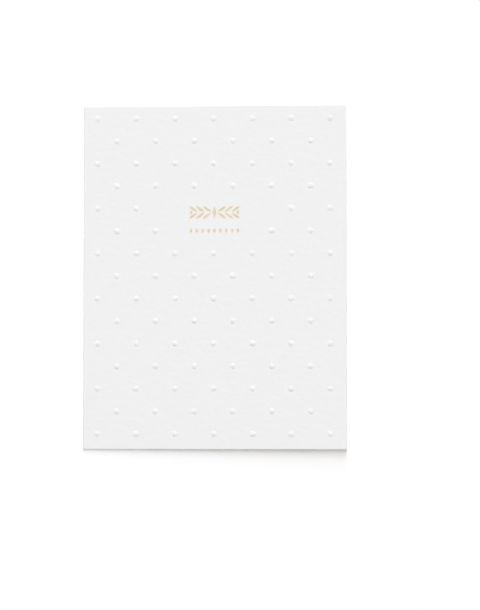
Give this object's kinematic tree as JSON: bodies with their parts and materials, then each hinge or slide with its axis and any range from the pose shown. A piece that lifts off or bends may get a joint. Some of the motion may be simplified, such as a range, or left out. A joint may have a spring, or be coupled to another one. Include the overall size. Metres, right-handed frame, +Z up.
{
  "type": "greeting card",
  "caption": "Folded greeting card of heavy white paper, with embossed dots in staggered rows and a small gold foil ornament on its front.",
  "frame": {"origin": "On the surface that the card lies on, under the middle of the back panel's outline.", "axes": "+X from the fold to the free edges, +Y to the card's top, +Z up from the back panel to the embossed front."},
  "size_m": [0.1072, 0.1396, 0.0034],
  "materials": {
    "cotton_paper": "uncoated, matt, faint tooth",
    "gold_foil": "satin metallic foil, pale gold"
  },
  "bodies": {
    "root": {"folded_card": "cotton_paper", "foil_ornament": "gold_foil"}
  },
  "joints": []
}
